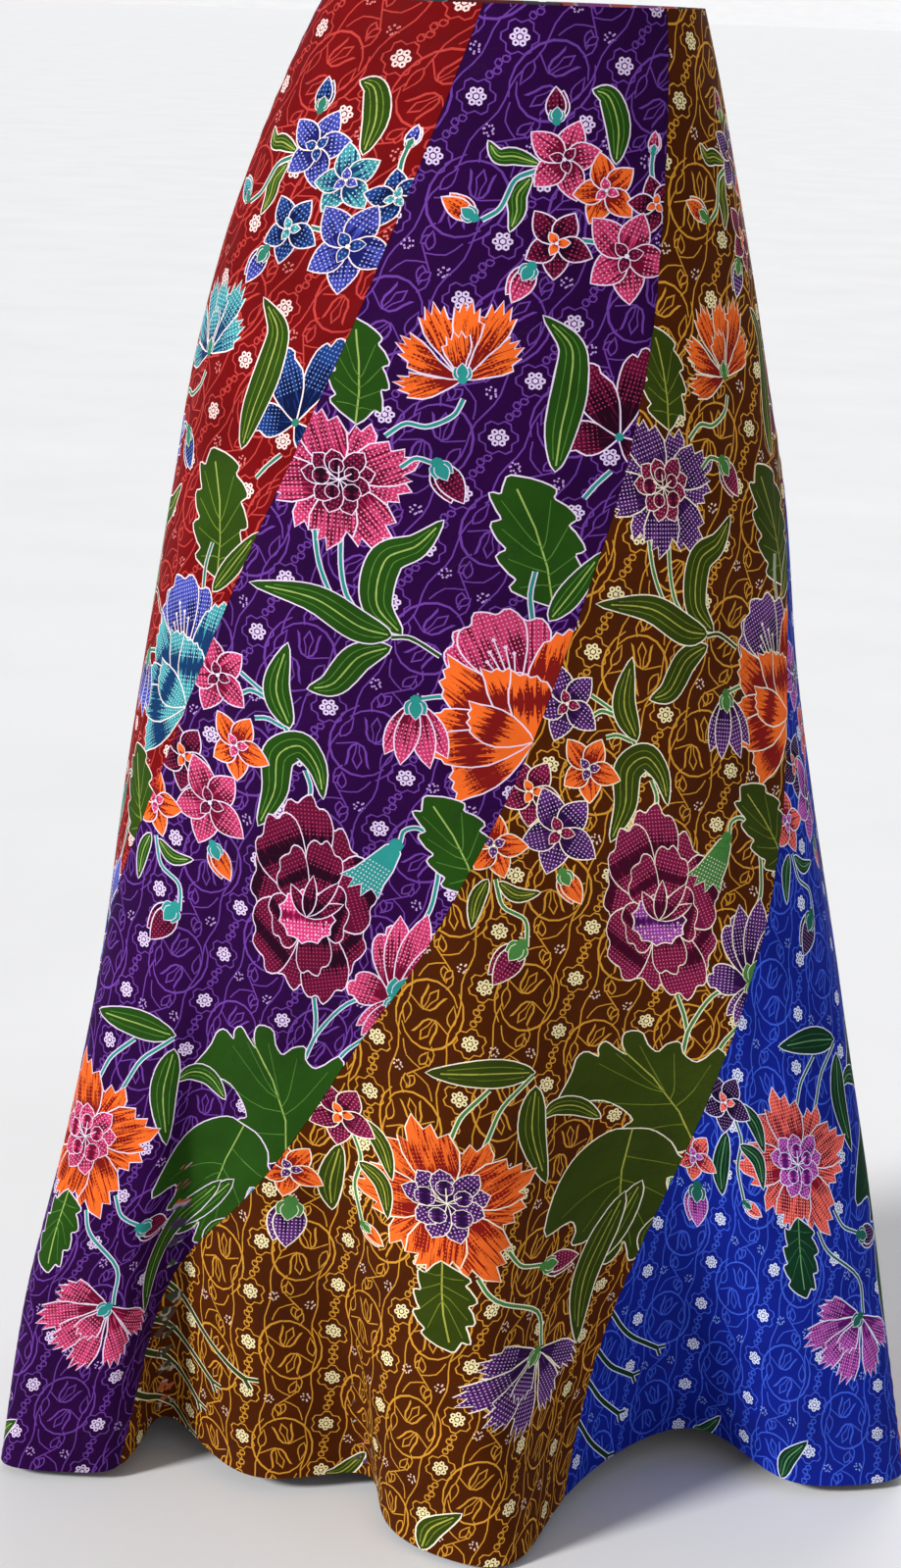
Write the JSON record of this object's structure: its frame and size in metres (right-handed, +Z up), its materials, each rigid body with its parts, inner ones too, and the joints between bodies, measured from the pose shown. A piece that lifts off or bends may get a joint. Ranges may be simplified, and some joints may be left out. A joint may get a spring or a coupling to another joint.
{
  "type": "batik skirt",
  "caption": "Long flared skirt of spiral gores cut from batik cloths in several colourways, held open at the waist, with a zip at the back.",
  "frame": {"origin": "middle of the waist edge, where a wearer holds the skirt up", "axes": "+Z up, -Y to the front of the skirt, +X to the viewer's right; the skirt hangs down from z = 0"},
  "size_m": [0.6316, 0.3917, 0.9886],
  "materials": {
    "red_batik": "printed woven cotton with a slight sheen",
    "purple_batik": "printed woven cotton with a slight sheen",
    "brown_batik": "printed woven cotton with a slight sheen",
    "blue_batik": "printed woven cotton with a slight sheen",
    "zip_cloth": "matte woven tape",
    "zip_teeth": "satin moulded teeth",
    "zip_metal": "satin antique brass"
  },
  "bodies": {
    "skirt": {"gore_red": "red_batik", "gore_purple": "purple_batik", "gore_brown": "brown_batik", "gore_blue": "blue_batik", "gore_red_back": "red_batik", "gore_purple_back": "purple_batik", "zip_tape": "zip_cloth", "zip_chain": "zip_teeth", "zip_slider": "zip_metal"},
    "pull_tab": {"zip_pull": "zip_metal"}
  },
  "joints": [
    {"name": "pull_tab_hinge", "type": "hinge", "parent": "skirt", "child": "pull_tab", "pos_m": [0.02852, 0.09639, -0.01242], "axis": [0.978, -0.1684, 0.1233], "range_deg": [0, 165]}
  ]
}
